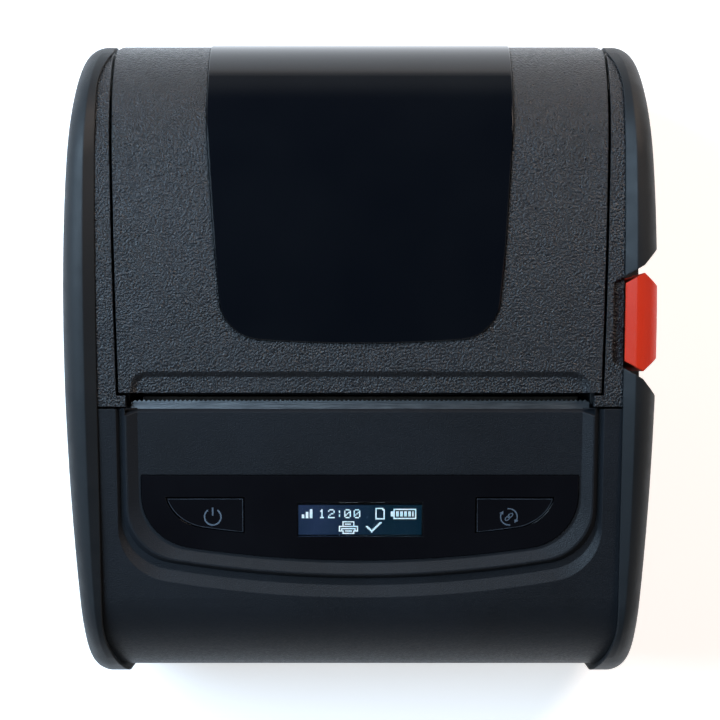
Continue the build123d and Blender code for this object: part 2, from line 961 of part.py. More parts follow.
# Keys: each cap passes through the panel and is kept in by a flange under it
key_top = relief_depth - panel_proud - key_proud
for side, key_name in ((-1, "power_key"), (1, "pair_key")):
    flange_top = panel_floor + moving_gap / 2
    with BuildPart() as key:
        extrude(key_outline(side, flange_top), amount=flange_top - key_top)
        extrude(key_outline(side, flange_top + key_flange, key_flange), amount=key_flange)
        with BuildSketch(front_plane.offset(-flange_top - key_flange)) as post:
            with Locations((side * switch_x, along(switch_y))):
                Circle(key_post_radius)
        extrude(amount=-key_post_length)
    save(key.part, key_name)

# Switches on their board under the keys
switch_top = flange_top + key_flange + key_post_length + running_gap
with BuildPart() as tact_switches:
    for side in (-1, 1):
        with BuildSketch(front_plane.offset(-switch_top - key_travel)) as plunger:
            with Locations((side * switch_x, along(switch_y))):
                Circle(key_post_radius)
        extrude(amount=key_travel / 10)
        with BuildSketch(front_plane.offset(-switch_top - key_travel - switch_height)) as body:
            with Locations((side * switch_x, along(switch_y))):
                Rectangle(switch_width, switch_width)
        extrude(amount=switch_height)
save(tact_switches.part, "tact_switches")

board_top = switch_top + key_travel + switch_height
with BuildPart() as key_board:
    with BuildSketch(front_plane.offset(-board_top - board_thickness)) as board:
        with Locations((0, along(switch_y))):
            Rectangle(2 * key_board_half_width, key_board_depth)
    extrude(amount=board_thickness)
save(key_board.part, "key_board")

# Tear bar: a flat strip with a row of teeth, held under the front cover's back edge
with BuildPart() as tear_bar:
    with BuildSketch(Plane.XY.offset(tear_z)) as strip:
        with Locations((0, tear_tip_y - tear_tooth)):
            Rectangle(2 * tear_half_width, tear_depth, align=(Align.CENTER, Align.MAX))
        tooth_count = int(2 * tear_half_width / tear_pitch)
        with Locations((0, tear_tip_y - tear_tooth)):
            with GridLocations(tear_pitch, 1, tooth_count, 1):
                Polygon((-tear_pitch / 2, 0), (tear_pitch / 2, 0), (0, tear_tooth), align=None)
    extrude(amount=tear_thickness)
save(tear_bar.part, "tear_bar")


# Lid cover: a thin shell over the roll, closed to the hinge behind
def window_plan(inset=0.0):
    """The window seen from above: it narrows towards its bowed front edge."""
    rear_x = window_rear_half_width - inset
    mid_x = window_mid_half_width - inset
    front_x = window_front_half_width - inset
    front = window_front + inset
    with BuildSketch() as plan:
        with BuildLine():
            Line((-front_x, front + window_bow), (-mid_x, window_mid_y))
            Line((-mid_x, window_mid_y), (-rear_x, window_rear_y))
            Line((-rear_x, window_rear_y), (-rear_x, far))
            Line((-rear_x, far), (rear_x, far))
            Line((rear_x, far), (rear_x, window_rear_y))
            Line((rear_x, window_rear_y), (mid_x, window_mid_y))
            Line((mid_x, window_mid_y), (front_x, front + window_bow))
            ThreePointArc((front_x, front + window_bow), (0, front), (-front_x, front + window_bow))
        make_face()
        fillet(plan.vertices().group_by(Axis.Y)[0], window_corner - inset)
    return plan.sketch


lid_slope = degrees(atan2(housing_top - slot_z, crown_y - slot_y))
lid_plane = Plane(
    origin=(0, slot_y, slot_z),
    x_dir=(1, 0, 0),
    z_dir=(0, -sin(radians(lid_slope)), cos(radians(lid_slope))),
)


def strip_shape(depth, grow):
    """The lowered strip along the lid's front edge, at one depth."""
    rear = strip_rear - slot_y + grow
    with BuildSketch(lid_plane.offset(-depth)) as shape:
        with Locations((0, rear)):
            RectangleRounded(
                2 * (strip_half_width + grow), 40, strip_corner + grow, align=(Align.CENTER, Align.MAX)
            )
    return shape.sketch


with BuildPart() as lid_form:
    extrude(housing_section(), amount=far, both=True)
    extrude(core_plan(moving_gap), amount=far, mode=Mode.INTERSECT)
    extrude(lid_plan(), amount=far, mode=Mode.INTERSECT)
    add(above(lid_foot_z), mode=Mode.INTERSECT)

with BuildPart() as lid_side_prism:
    extrude(core_plan(moving_gap), amount=far)
    extrude(lid_plan(), amount=far, mode=Mode.INTERSECT)

with BuildPart() as window_block:
    extrude(window_plan(-fit_gap), amount=far)
    extrude(housing_section(window_thickness - window_proud), amount=far, both=True, mode=Mode.SUBTRACT)
    add(above(window_foot_z - fit_gap), mode=Mode.INTERSECT)

with BuildPart() as lid_cover:
    add(lid_form.part)
    extrude(housing_section(lid_wall), amount=far, both=True, mode=Mode.SUBTRACT)
    # Skirts that stiffen both sides
    with BuildSketch() as edges:
        add(lid_plan())
        add(lid_plan(-skirt), mode=Mode.SUBTRACT)
    skirts = extrude(edges.sketch, amount=far, mode=Mode.PRIVATE)
    add(skirts & (lid_form.part - extrude(housing_section(lid_wall + skirt_depth), amount=far, both=True, mode=Mode.PRIVATE)))
    # Lowered strip along the front edge
    loft(
        [
            strip_shape(strip_depth, -strip_bevel),
            strip_shape(0, 0),
            strip_shape(-strip_depth, strip_bevel),
        ],
        ruled=True,
        mode=Mode.SUBTRACT,
    )
    # Seat of the window, and the opening under it
    add(window_block.part, mode=Mode.SUBTRACT)
    with BuildSketch() as see_through:
        add(window_plan(window_ledge))
    opening = extrude(see_through.sketch, amount=far, mode=Mode.PRIVATE)
    add(opening & above(window_foot_z + window_ledge), mode=Mode.SUBTRACT)
    # Barrel that closes the back below the lid and turns in the cove
    with BuildSketch(Plane.YZ) as barrel:
        with Locations((hinge_y, hinge_z)):
            Circle(housing_rear - hinge_y)
            Circle(housing_rear - hinge_y - lid_wall, mode=Mode.SUBTRACT)
        with Locations((hinge_y, barrel_foot)):
            Rectangle(far, lid_foot_z - barrel_foot, align=(Align.MIN, Align.MIN), mode=Mode.INTERSECT)
    barrel_shell = extrude(barrel.sketch, amount=far / 2, both=True, mode=Mode.PRIVATE)
    add(barrel_shell & lid_side_prism.part)
    # Knuckles of the hinge, and room for the ears between them
    for side in (-1, 1):
        for ear_x in ear_starts:
            ear_room = box_between(
                side * (ear_x - knuckle_gap),
                side * (ear_x + ear_length + knuckle_gap),
                hinge_y,
                far,
                0,
                lid_foot_z,
            )
            add(ear_room, mode=Mode.SUBTRACT)
        near = side * knuckle_x
        tip = side * (knuckle_x + knuckle_length)
        for ear_x in ear_starts:
            add(
                rod_between(
                    side * (ear_x - knuckle_gap),
                    side * (ear_x + ear_length + knuckle_gap),
                    hinge_y,
                    hinge_z,
                    knuckle_radius + knuckle_gap,
                ),
                mode=Mode.SUBTRACT,
            )
        add(rod_between(near, tip, hinge_y, hinge_z, knuckle_radius))
        web = box_between(near, tip, hinge_y, housing_rear, hinge_z, hinge_z + 2 * knuckle_radius)
        add(web & lid_form.part)
    add(rod_between(-far, far, hinge_y, hinge_z, hinge_pin_radius + running_gap), mode=Mode.SUBTRACT)
save(lid_cover.part, "lid_cover")

# Window: a smoked panel that stands a little proud of the lid
with BuildPart() as lid_window:
    extrude(housing_section(-window_proud), amount=far, both=True)
    extrude(housing_section(window_thickness - window_proud), amount=far, both=True, mode=Mode.SUBTRACT)
    extrude(window_plan(), amount=far, mode=Mode.INTERSECT)
    add(above(window_foot_z), mode=Mode.INTERSECT)
save(lid_window.part, "lid_window")

# Hinge pins
with BuildPart() as hinge_pins:
    for side in (-1, 1):
        pin_end = ear_starts[1] + ear_length
        add(rod_between(side * ear_starts[0], side * pin_end, hinge_y, hinge_z, hinge_pin_radius))
save(hinge_pins.part, "hinge_pins")

# The way that the platen leaves the mechanism when the lid opens
leave_y = platen_z - hinge_z
leave_z = hinge_y - platen_y
leave_angle = degrees(atan2(leave_z, leave_y))

# Inner lid frame: a beam under the lid with two arms that carry the platen
with BuildPart() as lid_inner:
    with BuildSketch(Plane.YZ) as beam:
        with BuildLine():
            Polyline(
                (beam_front, beam_base),
                (beam_rear, beam_base),
                (beam_rear, far),
                (beam_front, far),
                close=True,
            )
        make_face()
    extrude(amount=arm_x + arm_thickness, both=True)
    for side in (-1, 1):
        with BuildSketch(Plane.YZ.offset(side * arm_x)) as arm:
            with Locations((platen_y, platen_z)):
                Circle(bushing_radius + wall)
            with BuildLine():
                Polyline(
                    (platen_y, platen_z + bushing_radius + wall),
                    (platen_y + bushing_radius, platen_z - bushing_radius - wall / 2),
                    (beam_rear, beam_base),
                    (beam_rear, far),
                    (platen_y, far),
                    close=True,
                )
            make_face()
            with Locations((platen_y, platen_z)):
                Circle(bushing_radius + running_gap, mode=Mode.SUBTRACT)
        extrude(amount=side * arm_thickness)
    extrude(housing_section(lid_wall), amount=far, both=True, mode=Mode.INTERSECT)
save(lid_inner.part, "lid_inner")

# Platen: rubber roller on a steel shaft, running in two bushings
with BuildPart() as platen_bushings:
    for side in (-1, 1):
        start = side * (hook_x + hook_thickness + fit_gap)
        end = side * (plate_x + plate_thickness - fit_gap)
        sleeve = rod_between(start, end, platen_y, platen_z, bushing_radius)
        add(sleeve - rod_between(start, end, platen_y, platen_z, shaft_radius + running_gap))
save(platen_bushings.part, "platen_bushings")

with BuildPart() as platen_shaft:
    add(rod_between(gear_x - gear_face, shaft_right, platen_y, platen_z, shaft_radius))
save(platen_shaft.part, "platen_shaft")

with BuildPart() as platen_rubber:
    add(rod_between(-rubber_half_length, rubber_half_length, platen_y, platen_z, rubber_radius))
    add(rod_between(-far, far, platen_y, platen_z, shaft_radius), mode=Mode.SUBTRACT)
save(platen_rubber.part, "platen_rubber")


def gear_blank(teeth, x, place, first_tooth):
    """A spur gear seen along X, with one tooth at the given angle."""
    pitch_radius = teeth * module / 2
    root = pitch_radius - 1.2 * module
    tip = pitch_radius + 0.8 * module
    root_half = 0.42 * module * pi / 2
    tip_half = 0.2 * module * pi / 2
    with BuildSketch(Plane(origin=(x, *place), x_dir=(0, 1, 0), z_dir=(1, 0, 0))) as gear:
        Circle(root)
        with PolarLocations(0, teeth, first_tooth):
            Polygon(
                (root - module / 2, -root_half),
                (root, -root_half),
                (tip, -tip_half),
                (tip, tip_half),
                (root, root_half),
                (root - module / 2, root_half),
                align=None,
            )
    return gear.sketch


def beside(place, distance, angle):
    """A place at a distance and angle from another, seen along X."""
    return (
        place[0] + distance * cos(radians(angle)),
        place[1] + distance * sin(radians(angle)),
    )


platen_place = (platen_y, platen_z)
idler_place = beside(platen_place, (platen_teeth + idler_teeth) * module / 2, leave_angle + 180)
motor_place = beside(idler_place, (wheel_teeth + motor_teeth) * module / 2, motor_angle)
wheel_x = gear_x - gear_face - gear_gap

with BuildPart() as platen_gear:
    extrude(gear_blank(platen_teeth, gear_x, platen_place, leave_angle + 180), amount=-gear_face)
    add(rod_between(-far, far, *platen_place, shaft_radius), mode=Mode.SUBTRACT)
save(platen_gear.part, "platen_gear")

with BuildPart() as compound_gear:
    half_tooth = 180 / idler_teeth
    extrude(gear_blank(idler_teeth, gear_x, idler_place, leave_angle + half_tooth), amount=-gear_face - gear_gap)
    extrude(gear_blank(wheel_teeth, wheel_x, idler_place, motor_angle), amount=-gear_face)
    add(rod_between(-far, far, *idler_place, idler_pin_radius + running_gap), mode=Mode.SUBTRACT)
save(compound_gear.part, "compound_gear")

with BuildPart() as motor_pinion:
    pinion_gap = 180 / motor_teeth
    extrude(gear_blank(motor_teeth, wheel_x, motor_place, motor_angle + 180 + pinion_gap), amount=-gear_face)
    add(rod_between(-plate_x + 2, wheel_x, *motor_place, motor_shaft_radius))
save(motor_pinion.part, "motor_pinion")

with BuildPart() as stepper_motor:
    add(rod_between(-plate_x, -plate_x + motor_length, *motor_place, motor_radius))
    add(rod_between(-far, -plate_x + 3, *motor_place, motor_shaft_radius + running_gap), mode=Mode.SUBTRACT)
save(stepper_motor.part, "stepper_motor")

# Chassis of the print mechanism: two notched plates, a back wall with a shelf, and a base
shelf_top = tear_z
with BuildPart() as chassis:
    for side in (-1, 1):
        with BuildSketch(Plane.YZ.offset(side * plate_x)) as plate:
            with BuildLine():
                Polyline(
                    (plate_front, plate_base),
                    (plate_step_y, plate_base),
                    (plate_step_y, plate_step_z),
                    (plate_rear, plate_step_z),
                    (plate_rear, plate_top),
                    (plate_front / 2, plate_top),
                    (plate_front, plate_nose_z),
                    close=True,
                )
            make_face()
            with Locations(platen_place):
                with Locations(Rotation(0, 0, leave_angle)):
                    SlotCenterPoint(
                        (far / 4, 0), (0, 0), 2 * (bushing_radius + module_gap), mode=Mode.SUBTRACT
                    )
            with Locations((yoke_y, yoke_z)):
                Circle(yoke_radius + running_gap, mode=Mode.SUBTRACT)
        extrude(amount=side * plate_thickness)
    with BuildSketch(Plane.YZ) as walls:
        with BuildLine():
            Polyline(
                (back_wall_y - back_wall, head_base + module_gap),
                (back_wall_y, head_base + module_gap),
                (back_wall_y, shelf_base),
                (shelf_rear, shelf_base),
                (shelf_rear, shelf_top),
                (back_wall_y, shelf_top),
                (back_wall_y, shelf_base + module_gap * 2),
                (back_wall_y - back_wall, shelf_base + module_gap * 2),
                close=True,
            )
        make_face()
        with BuildLine():
            Polyline(
                (base_front, plate_base),
                (plate_step_y, plate_base),
                (plate_step_y, plate_base + back_wall),
                (base_front, plate_base + back_wall),
                close=True,
            )
        make_face()
    extrude(amount=plate_x, both=True)
    add(rod_between(-far, -plate_x + 1, *motor_place, motor_shaft_radius + fit_gap), mode=Mode.SUBTRACT)
    add(rod_between(-far, -plate_x + 1, *idler_place, idler_pin_radius), mode=Mode.SUBTRACT)
    for side in (-1, 1):
        with Locations((side * chassis_screw_x, rear_post_y, plate_base)):
            Cylinder(screw_radius + running_gap, far / 20, mode=Mode.SUBTRACT)
save(chassis.part, "chassis")

with BuildPart() as gear_stub:
    add(rod_between(-plate_x, wheel_x - gear_face - gear_gap, *idler_place, idler_pin_radius))
save(gear_stub.part, "gear_stub")

# Print head: a ceramic strip on its finned heat sink, pressed by a wavy leaf
head_face = paper_y - module_gap
with BuildPart() as thermal_head:
    add(box_between(-head_half_length, head_half_length, head_face - head_thickness, head_face, head_base, head_top))
save(thermal_head.part, "thermal_head")

sink_front = head_face - head_thickness - sink_thickness
with BuildPart() as head_heatsink:
    add(
        box_between(
            -head_half_length, head_half_length, sink_front, head_face - head_thickness, head_base, head_top
        )
    )
    with BuildSketch(Plane.XY.offset(head_base)) as slots:
        with Locations((0, sink_front)):
            with GridLocations(fin_pitch, 1, int(2 * head_half_length / fin_pitch) - 1, 1):
                Rectangle(fin_pitch / 2, sink_thickness, align=(Align.CENTER, Align.CENTER))
    extrude(amount=(head_top - head_base) / 2, mode=Mode.SUBTRACT)
save(head_heatsink.part, "head_heatsink")

with BuildPart() as head_spring:
    near_wall = back_wall_y + leaf / 2 + running_gap
    near_sink = sink_front - leaf / 2 - running_gap
    with BuildSketch(Plane.XY.offset(spring_base)) as wave:
        with BuildLine() as wave_line:
            wave_points = [
                (x, near_wall if index % 2 == 0 else near_sink)
                for index, x in enumerate(range(-spring_reach, spring_reach + 1, spring_step))
            ]
            FilletPolyline(*wave_points, radius=4)
            offset(amount=leaf / 2, side=Side.BOTH)
        make_face()
    extrude(amount=spring_height)
save(head_spring.part, "head_spring")

# Paper guide over the latch shaft, and the sensor behind it
with BuildPart() as paper_guide:
    with BuildSketch(Plane.YZ) as sheet:
        with BuildLine():
            Polyline(
                (guide_y, plate_base + back_wall),
                (guide_y, guide_top),
                (guide_y + guide_thickness / 2, guide_top + guide_thickness / 2),
                (guide_rear, guide_foot + guide_thickness),
                (guide_rear - guide_thickness / 2, guide_foot),
                (guide_y + guide_thickness, guide_top - guide_thickness),
                (guide_y + guide_thickness, plate_base + back_wall),
                close=True,
            )
        make_face()
    extrude(amount=chassis_screw_x - screw_head_radius - moving_gap, both=True)
save(paper_guide.part, "paper_guide")

with BuildPart() as paper_sensor:
    sensor_y = guide_y + guide_thickness
    add(box_between(sensor_x, sensor_x + 6, sensor_y, sensor_y + 1.2, guide_foot, guide_foot + 2))
save(paper_sensor.part, "paper_sensor")

# Latch yoke: a cross shaft with two hooks, and a tail that the release button lifts
with BuildPart() as latch_yoke:
    yoke_left = -plate_x - plate_thickness + running_gap
    tail_x = plate_x + plate_thickness + module_gap
    add(rod_between(yoke_left, tail_x + tail_width, yoke_y, yoke_z, yoke_radius))
    hook_inner_y = platen_y - shaft_radius - hook_clear
    for side in (-1, 1):
        with BuildSketch(Plane.YZ.offset(side * hook_x)) as hook:
            with Locations((yoke_y, yoke_z)):
                Circle(2 * yoke_radius)
            with BuildLine():
                Polyline(
                    (yoke_y - yoke_radius, yoke_z - yoke_radius),
                    (yoke_y + yoke_radius, yoke_z + yoke_radius),
                    (hook_inner_y, yoke_z + 3 * yoke_radius),
                    (hook_inner_y, nose_z_low),
                    (hook_inner_y + nose_reach, nose_z_low + nose_height / 2),
                    (hook_inner_y + nose_reach / 2, nose_z_low + 1.6 * nose_height),
                    (hook_inner_y - hook_depth, nose_z_low + nose_height),
                    (hook_inner_y - hook_depth, yoke_z + 3 * yoke_radius),
                    close=True,
                )
            make_face()
        extrude(amount=side * hook_thickness)
    with BuildSketch(Plane.YZ.offset(tail_x)) as tail:
        with Locations((yoke_y, yoke_z)):
            Circle(2 * yoke_radius)
        with BuildLine():
            Polyline(
                (yoke_y - yoke_radius, yoke_z),
                (yoke_y + yoke_radius, yoke_z),
                (tail_y - stem_width / 2 - 2 * module_gap, tail_base),
                (tail_y + 1, tail_base),
                (tail_y + 1, tail_base + tail_thickness),
                (tail_y - stem_width, tail_base + tail_thickness),
                close=True,
            )
        make_face()
    extrude(amount=tail_width)
save(latch_yoke.part, "latch_yoke")

# Leaf that returns the release button
with BuildPart() as button_spring:
    with BuildSketch(Plane.XZ.offset(-button_mid_y)) as bow:
        with BuildLine():
            ThreePointArc(
                (core_half_width, leaf_base),
                (core_half_width + leaf_bow, leaf_base + leaf_height / 2),
                (core_half_width, leaf_base + leaf_height),
            )
            Line((core_half_width, leaf_base + leaf_height), (core_half_width, leaf_base + leaf_height - 0.6))
            ThreePointArc(
                (core_half_width, leaf_base + leaf_height - 0.6),
                (core_half_width + leaf_bow - leaf, leaf_base + leaf_height / 2),
                (core_half_width, leaf_base + 0.6),
            )
            Line((core_half_width, leaf_base + 0.6), (core_half_width, leaf_base))
        make_face()
    extrude(amount=stem_width, both=True)
save(button_spring.part, "button_spring")

# Electronics
with BuildPart() as main_board:
    add(
        box_between(
            -main_board_half_width,
            main_board_half_width,
            main_board_front,
            main_board_rear,
            main_board_z - board_thickness,
            main_board_z,
        )
    )
    # A tongue out to the charging socket
    add(
        box_between(
            -core_half_width + wall + 1,
            0,
            socket_y - socket_width,
            socket_y + socket_width,
            main_board_z - board_thickness,
            main_board_z,
        )
    )
    for stand_x in (-30.0, 30.0):
        for stand_y in (-38.0, -25.0):
            with Locations((stand_x, stand_y, main_board_z - board_thickness)):
                Cylinder(
                    1.5,
                    main_board_z - board_thickness - battery_top - battery_gap - wall,
                    align=(Align.CENTER, Align.CENTER, Align.MAX),
                )
save(main_board.part, "main_board")

with BuildPart() as radio_module:
    add(box_between(16, 30, -48, -36, main_board_z, main_board_z + 2.2))
save(radio_module.part, "radio_module")

with BuildPart() as charging_socket:
    with BuildSketch(Plane.YZ.offset(-core_half_width + 0.3)) as shell:
        with Locations((socket_y, socket_z)):
            SlotOverall(socket_width, socket_height)
            SlotOverall(socket_width - 0.6, socket_height - 0.6, mode=Mode.SUBTRACT)
    extrude(amount=socket_length)
    with BuildSketch(Plane.YZ.offset(-core_half_width + 1.5)) as tongue:
        with Locations((socket_y, socket_z)):
            Rectangle(socket_width * 0.7, 0.7)
    extrude(amount=socket_length - 1.2)
    with BuildSketch(Plane.YZ.offset(-core_half_width + socket_length - 0.9)) as back:
        with Locations((socket_y, (socket_z + main_board_z + socket_height / 2) / 2 - 0)):
            Rectangle(socket_width, socket_z + socket_height / 2 - main_board_z)
    extrude(amount=1.2)
save(charging_socket.part, "charging_socket")

# Battery: a sloping-nosed pack with two cells inside
with BuildPart() as battery_case:
    with BuildSketch(Plane.YZ) as pack:
        with BuildLine():
            FilletPolyline(
                (battery_rear, housing_base),
                (battery_rear, battery_top),
                (battery_front + nose_lean, battery_top),
                (battery_front, housing_base),
                radius=[battery_pivot_radius, 1.0, 1.0, 0.8],
                close=True,
            )
        make_face()
    extrude(amount=battery_half_width, both=True)
    for y in cell_y:
        bore = rod_between(-cell_half_length - 0.3, cell_half_length + 0.3, y, cell_z, cell_radius + 0.2)
        add(bore, mode=Mode.SUBTRACT)
save(battery_case.part, "battery_case")

with BuildPart() as battery_cells:
    for y in cell_y:
        add(rod_between(-cell_half_length, cell_half_length, y, cell_z, cell_radius))
save(battery_cells.part, "battery_cells")

with BuildPart() as battery_contacts:
    for x in (-9, -3, 3, 9):
        add(box_between(x - 1.2, x + 1.2, bay_rear - battery_gap / 2, bay_rear, 8, 13))
save(battery_contacts.part, "battery_contacts")

# Catch that holds the battery's nose
with BuildPart() as battery_latch:
    catch_rear = bay_front - battery_gap / 2
    latch_top = housing_base + latch_height
    add(box_between(-latch_half_width, latch_half_width, catch_rear - latch_depth, catch_rear, housing_base, latch_top))
    add(
        box_between(
            -groove_x + moving_gap,
            groove_x - moving_gap,
            catch_rear - latch_depth,
            catch_rear,
            groove_z + moving_gap / 2,
            latch_top,
        )
    )
save(battery_latch.part, "battery_latch")

# Fasteners
with BuildPart() as clip_inserts:
    with Locations((-clip_x, clip_y, housing_base), (clip_x, clip_y, housing_base)):
        Cylinder(clip_radius, clip_length, align=(Align.CENTER, Align.CENTER, Align.MIN))
        Cylinder(clip_bore, 3 * clip_length, mode=Mode.SUBTRACT)
save(clip_inserts.part, "clip_inserts")

with BuildPart() as housing_screws:
    for post_y in (front_post_y, rear_post_y):
        with Locations((-post_x, post_y, housing_base), (post_x, post_y, housing_base)):
            Cylinder(screw_head_radius, screw_head_height, align=(Align.CENTER, Align.CENTER, Align.MIN))
            Cylinder(screw_radius, screw_length, align=(Align.CENTER, Align.CENTER, Align.MIN))
save(housing_screws.part, "housing_screws")

with BuildPart() as chassis_screws:
    head_z = plate_base + back_wall
    with Locations((-chassis_screw_x, rear_post_y, head_z), (chassis_screw_x, rear_post_y, head_z)):
        Cylinder(screw_head_radius, screw_head_height, align=(Align.CENTER, Align.CENTER, Align.MIN))
        Cylinder(screw_radius, chassis_screw_depth, align=(Align.CENTER, Align.CENTER, Align.MAX))
save(chassis_screws.part, "chassis_screws")
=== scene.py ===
import math

import bpy
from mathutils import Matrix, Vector, geometry


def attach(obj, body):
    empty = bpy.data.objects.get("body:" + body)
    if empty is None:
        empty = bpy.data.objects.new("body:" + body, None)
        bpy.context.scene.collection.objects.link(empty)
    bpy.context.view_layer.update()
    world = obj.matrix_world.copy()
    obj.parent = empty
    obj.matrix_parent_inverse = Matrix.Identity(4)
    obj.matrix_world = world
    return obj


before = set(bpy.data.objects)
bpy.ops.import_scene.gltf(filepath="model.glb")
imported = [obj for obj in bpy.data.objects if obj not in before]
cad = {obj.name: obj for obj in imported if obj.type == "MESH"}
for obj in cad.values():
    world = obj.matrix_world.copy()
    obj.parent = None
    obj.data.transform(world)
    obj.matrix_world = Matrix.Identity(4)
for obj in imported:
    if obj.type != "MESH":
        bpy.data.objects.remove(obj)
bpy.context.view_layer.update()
MM = 0.001


# Lower shell and its clip inserts.
# The shell is the bottom of the housing, moulded in black plastic with a fine spark grain.
# The two inserts are knurled brass, pressed in from below for a belt clip.
class Finish:
    """One material being mixed: its nodes, its shader and the place on the piece in metres."""

    def __init__(self, name, colour, roughness):
        self.material = bpy.data.materials.new(name)
        self.material.use_nodes = True
        self.tree = self.material.node_tree
        self.shader = self.tree.nodes["Principled BSDF"]
        self.place = self.tree.nodes.new("ShaderNodeTexCoord").outputs["Object"]
        self.colour = colour
        self.shader.inputs["Base Color"].default_value = (*colour, 1)
        self.shader.inputs["Roughness"].default_value = roughness

    def node(self, kind, **values):
        made = self.tree.nodes.new("ShaderNode" + kind)
        for key, value in values.items():
            setattr(made, key, value)
        return made

    def join(self, source, target):
        self.tree.links.new(source, target)

    def stretched(self, x, y, z):
        """The place on the piece, drawn out along one direction, as for brushing."""
        spread = self.node("Mapping")
        spread.inputs["Scale"].default_value = (x, y, z)
        self.join(self.place, spread.inputs["Vector"])
        return spread.outputs["Vector"]

    def cloud(self, size, detail=2.0, low=0.0, high=1.0, where=None):
        """A soft random field whose patches are about one size across, in metres."""
        field = self.node("TexNoise")
        field.inputs["Scale"].default_value = 1 / size
        field.inputs["Detail"].default_value = detail
        self.join(where or self.place, field.inputs["Vector"])
        spread = self.node("MapRange")
        spread.inputs["From Min"].default_value = 0.3
        spread.inputs["From Max"].default_value = 0.7
        spread.inputs["To Min"].default_value = low
        spread.inputs["To Max"].default_value = high
        self.join(field.outputs["Fac"], spread.inputs["Value"])
        return spread.outputs["Result"]

    def shade(self, factor, other):
        """Mixes the piece's colour with another one and sends it to the shader."""
        blend = self.node("Mix", data_type="RGBA")
        blend.inputs["A"].default_value = (*self.colour, 1)
        blend.inputs["B"].default_value = (*other, 1)
        self.join(factor, blend.inputs["Factor"])
        self.join(blend.outputs["Result"], self.shader.inputs["Base Color"])

    def rough(self, factor):
        self.join(factor, self.shader.inputs["Roughness"])

    def relief(self, height, depth, strength=1.0, edge=0.0):
        """Raises the surface by a field, over edges that are rounded off."""
        bump = self.node("Bump")
        bump.inputs["Distance"].default_value = depth
        bump.inputs["Strength"].default_value = strength
        self.join(height, bump.inputs["Height"])
        if edge:
            rounding = self.node("Bevel", samples=4)
            rounding.inputs["Radius"].default_value = edge
            self.join(rounding.outputs["Normal"], bump.inputs["Normal"])
        self.join(bump.outputs["Normal"], self.shader.inputs["Normal"])


def moulded(name, colour, roughness, grain, depth, edge, spread=0.06, lift=1.5):
    """Moulded plastic: a grain of one size and depth, slight mottling, and rounded edges."""
    plastic = Finish(name, colour, roughness)
    plastic.shade(plastic.cloud(0.014, 3), tuple(c * lift for c in colour))
    plastic.rough(plastic.cloud(grain * 2.5, 2, roughness - spread, roughness + spread))
    plastic.relief(plastic.cloud(grain, 2.5), depth, edge=edge)
    return plastic


def dress(finish, *names):
    """Gives CAD pieces their finish."""
    for name in names:
        piece = cad[name]
        if not piece.material_slots:
            piece.data.materials.append(finish.material)
        for place in piece.material_slots:
            place.material = finish.material


FINE_BLACK = (0.0042, 0.0056, 0.0080)
fine_plastic = moulded("fine_plastic", FINE_BLACK, 0.56, 0.22 * MM, 0.03 * MM, 0.25 * MM)
fine_plastic.shader.inputs["Specular IOR Level"].default_value = 0.3
dress(fine_plastic, "lower_shell", "front_cover")

brass = Finish("brass", (0.55, 0.36, 0.12), 0.3)
brass.shader.inputs["Metallic"].default_value = 1
brass.shade(brass.cloud(2 * MM), (0.42, 0.25, 0.08))
brass.relief(brass.cloud(0.3 * MM), 0.02 * MM)
dress(brass, "clip_inserts")


# Main board, its radio and the charging inlet.
# Green solder mask with tinned pads; the radio is a board under a pressed tin can.
# The inlet's shell is drawn steel, soldered to the board's left edge.
board = Finish("circuit_board", (0.01, 0.075, 0.03), 0.35)
traces = board.node("TexBrick")
traces.inputs["Scale"].default_value = 300
traces.inputs["Color1"].default_value = (0.01, 0.075, 0.03, 1)
traces.inputs["Color2"].default_value = (0.012, 0.095, 0.04, 1)
traces.inputs["Mortar"].default_value = (0.03, 0.17, 0.07, 1)
traces.inputs["Mortar Size"].default_value = 0.06
board.join(board.place, traces.inputs["Vector"])
board.join(traces.outputs["Color"], board.shader.inputs["Base Color"])
board.rough(board.cloud(3 * MM, 2, 0.28, 0.42))
board.relief(traces.outputs["Fac"], 0.02 * MM, 0.5)
dress(board, "main_board", "key_board")

tinned = Finish("component_metal", (0.5, 0.52, 0.54), 0.3)
tinned.shader.inputs["Metallic"].default_value = 1
tinned.shade(tinned.cloud(3 * MM, 3), (0.38, 0.4, 0.42))
tinned.rough(tinned.cloud(1 * MM, 3, 0.22, 0.4, tinned.stretched(0.1, 1, 1)))
tinned.relief(tinned.cloud(0.25 * MM, 2, 0, 1, tinned.stretched(0.08, 1, 1)), 0.01 * MM, edge=0.1 * MM)
dress(tinned, "radio_module", "charging_socket", "battery_contacts", "head_spring", "button_spring")
dress(tinned, "gear_stub", "housing_screws", "chassis_screws", "hinge_pins", "platen_shaft")


# Battery and its catch, with the other small black mouldings.
# Two round lithium cells in a shrink wrap lie in a moulded case, which a sliding catch holds.
black_case = moulded("component_black", (0.012, 0.013, 0.015), 0.4, 0.3 * MM, 0.02 * MM, 0.15 * MM)
dress(black_case, "battery_case", "battery_latch", "paper_guide", "paper_sensor", "tact_switches")

wrap = Finish("cell_wrap", (0.02, 0.10, 0.30), 0.32)
wrap.shade(wrap.cloud(6 * MM, 3), (0.015, 0.075, 0.24))
wrap.relief(wrap.cloud(4 * MM, 2, 0, 1, wrap.stretched(0.15, 1, 1)), 0.06 * MM)
dress(wrap, "battery_cells")


# Rear frame and lid cover: the side rails, the upper half of the roll cradle and the lid.
# Black plastic with a coarse spark-eroded grain, which catches the light in small points.
GRAIN_BLACK = (0.0045, 0.0058, 0.0082)
grained_plastic = moulded(
    "grained_plastic", GRAIN_BLACK, 0.34, 0.36 * MM, 0.16 * MM, 0.3 * MM, spread=0.08, lift=1.6
)
dress(grained_plastic, "rear_frame", "lid_cover")


